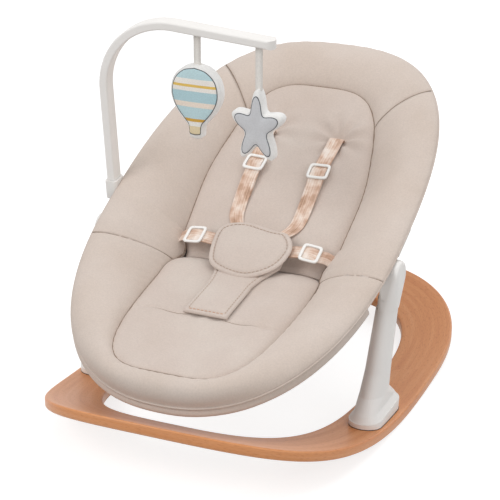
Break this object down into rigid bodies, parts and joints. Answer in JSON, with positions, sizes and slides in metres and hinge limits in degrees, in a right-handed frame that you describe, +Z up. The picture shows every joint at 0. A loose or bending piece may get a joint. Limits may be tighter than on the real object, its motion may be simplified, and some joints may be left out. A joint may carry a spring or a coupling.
{
  "type": "baby bouncer seat",
  "caption": "Padded reclining baby bouncer seat on two legs over a curved bentwood rocker ring, with harness and a side-mounted toy bar.",
  "frame": {"origin": "on the floor, under the middle of the rocker ring's outline", "axes": "+Z up, foot end towards -Y, head end towards +Y, toy bar on the -X side"},
  "size_m": [0.434, 0.64, 0.483],
  "materials": {
    "beech_ply": "satin clear lacquer",
    "white_plastic": "matte",
    "clip_plastic": "satin",
    "grip_rubber": "matte",
    "steel": "satin",
    "washer_plastic": "matte",
    "seat_fabric": "matte",
    "webbing": "satin",
    "toy_plush": "matte",
    "toy_ribbon": "satin"
  },
  "bodies": {
    "stand": {"base_ring": "beech_ply", "grip_strips": "grip_rubber", "leg_left": "white_plastic", "leg_right": "white_plastic", "foot_gaskets": "grip_rubber", "leg_screws": "steel", "hub_left": "white_plastic", "hub_right": "white_plastic", "hinge_bolts": "steel", "friction_washers": "washer_plastic"},
    "seat": {"seat_arm_left": "white_plastic", "seat_arm_right": "white_plastic", "rear_tube": "steel", "front_tube": "steel", "tube_screws": "steel", "under_sling": "seat_fabric", "seat_pad": "seat_fabric", "back_pad": "seat_fabric", "foot_bolster": "seat_fabric", "wing_left": "seat_fabric", "wing_right": "seat_fabric", "head_bolster": "seat_fabric", "shoulder_strap_left": "webbing", "shoulder_strap_right": "webbing", "waist_strap_left": "webbing", "waist_strap_right": "webbing", "shoulder_adjusters": "clip_plastic", "waist_adjusters": "clip_plastic", "crotch_strap": "seat_fabric", "buckle_body": "clip_plastic", "buckle_spring": "steel", "buckle_tongues": "clip_plastic", "buckle_shield": "seat_fabric", "bar_clip": "white_plastic"},
    "button": {"buckle_button": "clip_plastic"},
    "toy_bar": {"toy_bar": "white_plastic", "toy_pins": "steel"},
    "balloon": {"balloon_ribbon": "toy_ribbon", "balloon_toy": "toy_plush"},
    "star": {"star_ribbon": "toy_ribbon", "star_toy": "toy_plush"}
  },
  "joints": [
    {"name": "seat_recline", "type": "hinge", "parent": "stand", "child": "seat", "pos_m": [0, -0.038, 0.2], "axis": [1, 0, 0], "range_deg": [-14, 0]},
    {"name": "buckle_press", "type": "slide", "parent": "seat", "child": "button", "axis": [0, 0.4067, -0.9135], "range_m": [0, 0.003], "stiffness_N_per_m": 400, "springref_m": -0.003, "deforming": ["buckle_spring"]},
    {"name": "toy_bar_pull", "type": "slide", "parent": "seat", "child": "toy_bar", "axis": [0, -0.1045, 0.9945], "range_m": [0, 0.03]},
    {"name": "balloon_swing", "type": "hinge", "parent": "toy_bar", "child": "balloon", "pos_m": [-0.07381, -0.01877, 0.47426], "axis": [1, 0, 0], "range_deg": [-25, 25]},
    {"name": "star_swing", "type": "hinge", "parent": "toy_bar", "child": "star", "pos_m": [0.00899, -0.01816, 0.4685], "axis": [1, 0, 0], "range_deg": [-25, 25]}
  ]
}
